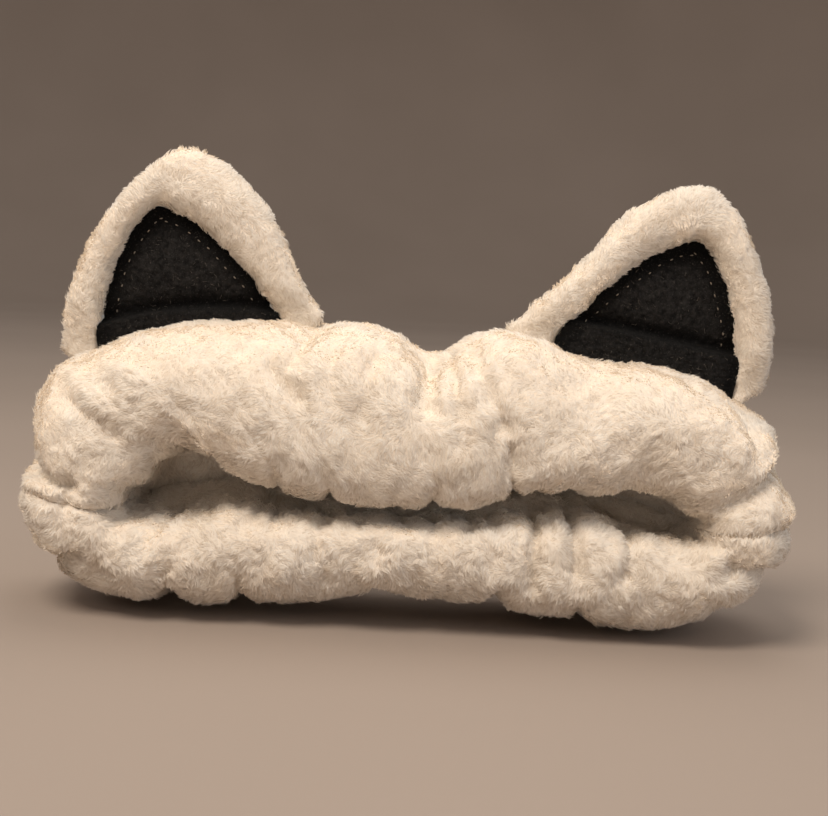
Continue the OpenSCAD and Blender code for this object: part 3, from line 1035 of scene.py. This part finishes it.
def hairs(root, lean, seed):
    """Thin curved fibres lying on the felt: their points and faces."""
    rng = np.random.default_rng(seed)
    n, steps = len(root), 5
    f = np.linspace(0, 1, steps)[None, :, None]
    turn = rng.normal(0, 0.9, n)
    size = LINT_LONG * rng.uniform(0.5, 1.5, (n, 1, 1))
    angle = lean[:, None] + turn[:, None] * f[..., 0]
    dip = -0.25 * np.sin(f[..., 0] * pi) * np.ones((n, 1))
    step = np.stack([np.cos(angle), dip, np.sin(angle)], -1)
    line = root[:, None] + np.cumsum(step, 1) * size / steps
    side = unit(np.cross(step, BACKWARD))
    thick = LINT_R * (1 - 0.6 * f)
    corners = [line + thick * (side * cos(a) + BACKWARD * sin(a)) for a in (0, 2.094, 4.189)]
    faces = [face for base in range(0, n * steps * 3, steps * 3) for face in rod_faces(base, steps, 3)]
    return np.stack(corners, 2).reshape(-1, 3), faces


def make_ear_fleece(local, word):
    faces = grid_faces(*local.shape[:2], False, False)[:, ::-1].tolist()
    fleece = ear_object(word, "fleece", local, faces, FLEECE)
    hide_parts(f"{word}_ear_back_panel", f"{word}_ear_front_border")


def make_felt(felt, fuzz_and_shade, word):
    ob = thick_sheet(f"{word}_ear_felt_panel", to_row(felt, word), FELT_THICK, FELT)
    # the nap attribute carries the fuzz mask with its painted shade
    add_values(ob, "nap", np.tile(fuzz_and_shade.ravel(), 2))
    ride_ear(ob)
    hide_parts(f"{word}_ear_felt")


def make_lint(felt, ear, word, rng):
    pick = rng.integers(0, felt.shape[0], LINT_COUNT), rng.integers(4, felt.shape[1] - 20, LINT_COUNT)
    lean = rng.uniform(0, 6.28, LINT_COUNT)
    local, faces = hairs(felt[pick] - 0.12 * BACKWARD, lean, ear["seed"] + 1)
    ear_object(word, "lint", local, faces, LINT)


def make_ear_pile(local, normals, ear, word, rng):
    root, normal, side, _ = scatter(local, normals, False, False, rng)
    keep = root[:, 2] > EAR_ROOT + 2
    root, normal, side = root[keep], normal[keep], side[keep]
    points, facing, tone = tufts(root, normal, side, 0.4, ear["seed"] + 2, NAP_H)
    facing = facing @ ear_frame(word)[1]
    pile = tuft_object(f"{word}_ear_pile", to_row(points, word), facing, tone)
    ride_ear(pile)


def make_ear(word):
    ear = EARS[word]
    local = ear_skin(ear)
    normals = -grid_normals(local, False, False)
    local = mat_noise(local, normals)
    make_ear_fleece(local, word)
    make_stuffing(ear, word)
    felt, fuzz_and_shade = felt_grid(ear, word)
    make_felt(felt, fuzz_and_shade, word)
    make_stitches(ear, word)
    rng = np.random.default_rng(ear["seed"])
    make_lint(felt, ear, word, rng)
    make_ear_pile(local, normals, ear, word, rng)


# ---- what is inside ----

def strand_middle(t):
    """The strand's middle line at turn t: x, z, the way outward, and half its height."""
    ox, oz = outline(t)
    ix, iz = opening(t, CLOSED_Y)
    reach = np.hypot(ox - ix, oz - iz) / 2
    return (ox + ix) / 2, (oz + iz) / 2, (ox - ix) / (2 * reach), (oz - iz) / (2 * reach), reach


def inner_tube(name, t, rings, material, node):
    """A closed tube along the strand, from each ring's distances outward and back, in place of a node."""
    mx, mz, dx, dz, _ = (a[:, None] for a in strand_middle(t))
    out, back = rings[..., 0], rings[..., 1]
    ob = capped_grid(name, np.stack([mx + dx * out, back, mz + dz * out], -1), material)
    ride_tube(ob)
    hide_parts(node)
    return ob


ELASTIC_W, ELASTIC_T, ELASTIC_RIBS = 24.0, 1.6, 12
PAD_INSET = 11.0  # how far inside the fleece's outline the wadding and the side seams lie
SEAM_INSET = 10.5
OVERLOCK_NU, OVERLOCK_NV = 480, 10  # points along a side seam's cord, and round it


def make_elastic(word, t0, t1):
    """Woven elastic: a ribbon with a row of ribs on both faces."""
    t = np.linspace(t0, t1, 360)
    across = np.linspace(-0.5, 0.5, 4 * ELASTIC_RIBS + 1)
    rib = 0.16 * np.abs(np.sin((across + 0.5) * ELASTIC_RIBS * pi))
    out = np.concatenate([ELASTIC_T / 2 - 0.2 + rib, (-ELASTIC_T / 2 + 0.2 - rib)[::-1]])
    back = np.concatenate([across, across[::-1]]) * ELASTIC_W
    reach = strand_middle(t)[4]
    gathered = 0.35 * np.sin(np.radians(t) * 46)
    rings = np.stack([out[None, :] + (gathered - 0.25 * reach)[:, None], back[None, :] + 0 * t[:, None]], -1)
    inner_tube(f"{word}_elastic_ribbon", t, rings, ELASTIC, f"{word}_elastic")


def make_tube_seam(word, t0, t1):
    """The rolled seam that closes a sleeve, on the side of the opening."""
    t = np.linspace(t0, t1, 420)
    w = np.radians(np.arange(0, 360, 30))[None, :]
    reach = strand_middle(t)[4][:, None]
    r = 1.0 + 0.16 * np.sin(np.radians(t) * 110)[:, None] + 0.1 * np.sin(3 * w)
    rings = np.stack([11.5 - reach + r * np.cos(w), 4 + r * np.sin(w)], -1)
    inner_tube(f"{word}_inner_seam", t, rings, FLEECE, f"{word}_tube_seam")


def make_wadding(t0, t1):
    """The pad in the front strand: a lumpy D that fills the outer half of the tube."""
    t = np.linspace(t0, t1, 240)
    v = np.concatenate([np.linspace(-90, 90, 40), np.linspace(78, -78, 12)])[None, :]
    outer = np.abs(v) <= 90
    chord = np.arange(52)[None, :] >= 40
    cv, sv = cos_sin(v)
    k = pnorm(cv, sv, SECTION_POWER)
    reach = strand_middle(t)[4][:, None] - PAD_INSET
    depth = half_depth(t)[:, None] - PAD_INSET - 2
    ends = np.sqrt(np.clip(np.minimum(t - t0, t1 - t) / 8, 0.02, 1))[:, None]
    out = np.where(chord, 0.5, reach * cv / k) * ends * outer
    back = depth * sv / k * np.where(chord, 0.97, 1.0) * ends
    rings = np.stack([out, back], -1)
    lumps = waves(np.stack([t[:, None] * 1.4 + 0 * out, out, back], -1), 9, 61)
    rings[..., 0] += 0.5 * lumps * ~chord
    inner_tube("front_batting", t, rings, WADDING, "front_wadding")


def make_side_seam(word, t):
    """The overlocked seam that joins the sleeves: a cord wrapped by loops of thread."""
    v = np.radians(np.linspace(0, 360, OVERLOCK_NU, endpoint=False))[:, None]
    w = np.radians(np.arange(0, 360, 360 // OVERLOCK_NV))[None, :]
    mx, mz, dx, dz, reach = strand_middle(np.array([float(t)]))
    r = 0.85 + 0.12 * np.sin(np.arange(OVERLOCK_NU) * 2 * pi / 4)[:, None] + 0 * w
    out = (reach - SEAM_INSET + r * np.cos(w)) * np.cos(v)
    back = (half_depth(t) - SEAM_INSET + r * np.cos(w)) * np.sin(v)
    up = r * np.sin(w) + 0 * v
    points = np.stack([mx + dx * out, back, mz + dz * out + up], -1)
    faces = grid_faces(OVERLOCK_NU, OVERLOCK_NV, True, True)[:, ::1 if dx[0] < 0 else -1]
    ob = mesh_object(f"{word}_overlock", points, faces.tolist(), THREAD)
    ride_loop(ob)
    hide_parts(f"{word}_side_seam")


# ---- the room: floor, lights and camera ----

FLOOR_R = 2200  # flat part of the floor, the bend up into the wall, and the wall's height
WALL_R = 900
WALL_H = 1500
FLOOR_TONES = [(0.3, (0.345, 0.28, 0.235)), (0.7, (0.375, 0.305, 0.258))]
WORLD_COLOUR = (1.0, 0.94, 0.89, 1)
WORLD_STRENGTH = 0.50


def make_room():
    """A pale floor that curves up into a low wall all round."""
    bend = np.linspace(0.12, pi / 2, 14)
    profile = [(r, 0.0) for r in (1, 400, 900, 1600, FLOOR_R)]
    profile += [(FLOOR_R + WALL_R * sin(a), WALL_R - WALL_R * cos(a)) for a in bend]
    profile += [(FLOOR_R + WALL_R, WALL_H)]
    spokes = np.linspace(0, 2 * pi, 96, endpoint=False)
    points = [(r * cos(w), r * sin(w), z) for r, z in profile for w in spokes]
    faces = grid_faces(len(profile), 96, False, True)[:, ::-1].tolist() + [list(range(96))]
    material, tree, shader, coords = new_material("pale_floor")
    patches = noise(tree, 3, 2, 0.5, coords)
    tree.links.new(ramp(tree, patches, FLOOR_TONES), shader.inputs["Base Color"])
    shader.inputs["Roughness"].default_value = 0.9
    floor = mesh_object("floor", points, faces, material)


# Each light: its name, place and size in metres, watts and colour.
LIGHTS = [
    ("key", (-0.30, -0.45, 0.92), 0.42, 6.8, (1.0, 0.895, 0.775)),
    ("front", (-0.25, -1.1, 0.12), 0.35, 0.8, (1.0, 0.90, 0.80)),
    ("fill", (0.9, -0.5, 0.45), 0.7, 1.8, (0.86, 0.92, 1.0)),
    ("top", (0.1, 0.25, 0.9), 0.6, 1.7, (1.0, 0.94, 0.86)),
]
LIT_POINT = (0, 0, 0.06)


def make_lights():
    for name, place, size, watts, colour in LIGHTS:
        light = bpy.data.lights.new(name, "AREA")
        light.shape = "DISK"
        light.size, light.energy, light.color = size, watts, colour
        ob = bpy.data.objects.new(name, light)
        ob.location = place
        ob.rotation_euler = (Vector(LIT_POINT) - Vector(place)).to_track_quat("-Z", "Y").to_euler()
        link(ob)
    world = bpy.data.worlds.new("room")
    world.use_nodes = True
    sky = world.node_tree.nodes["Background"]
    sky.inputs["Color"].default_value = WORLD_COLOUR
    sky.inputs["Strength"].default_value = WORLD_STRENGTH
    bpy.context.scene.world = world


CAMERA_FOV = 36.0  # across the picture, in degrees
CAMERA_WIDTH = 226.5  # width of the picture at the headband, in millimetres
CAMERA_TARGET = (1.1, 0.0, 57.5)
CAMERA_UP = 6.0  # elevation, in degrees
CAMERA_ROLL = 3.0


def make_camera():
    data = bpy.data.cameras.new("camera")
    data.sensor_fit = "HORIZONTAL"
    data.angle = radians(CAMERA_FOV)
    away = CAMERA_WIDTH / 2 / tan(data.angle / 2)
    up = radians(CAMERA_UP)
    target = Vector(CAMERA_TARGET)
    place = target + away * Vector((0, -cos(up), sin(up)))
    ob = bpy.data.objects.new("camera", data)
    roll = Matrix.Rotation(radians(CAMERA_ROLL), 3, "Z")
    turn = (target - place).to_track_quat("-Z", "Y").to_matrix() @ roll
    ob.matrix_world = Matrix.Translation(place * MM) @ turn.to_4x4()
    data.clip_start = 0.01
    link(ob)
    bpy.context.scene.camera = ob


def dress_cad_nodes():
    """Gives the CAD nodes that stay their materials."""
    for ob in bpy.data.objects:
        node = ob.get("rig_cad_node")
        if not node or ob.type != "MESH":
            continue
        material = ELASTIC if "elastic" in node else WADDING if "wadding" in node else THREAD
        ob.data.materials.clear()
        ob.data.materials.append(material)


bpy.context.scene.view_settings.view_transform = "Standard"
make_camera()
make_room()
make_lights()
dress_cad_nodes()
skin = loop_skin()
make_sleeve(skin, "front", 0.0, LEFT_SEAM, 1.2, 6, SEED + 1)
make_sleeve(skin, "back", LEFT_SEAM, LOOP_LEN, -1.4, 5, SEED + 2)
for word, start, end in (("front", 0, 180), ("back", 180, 360)):
    make_elastic(word, start, end)
    make_tube_seam(word, start + 14, end - 14)
make_wadding(25, 155)
make_side_seam("left", 180)
make_side_seam("right", 0)
for word in EARS:
    make_ear(word)
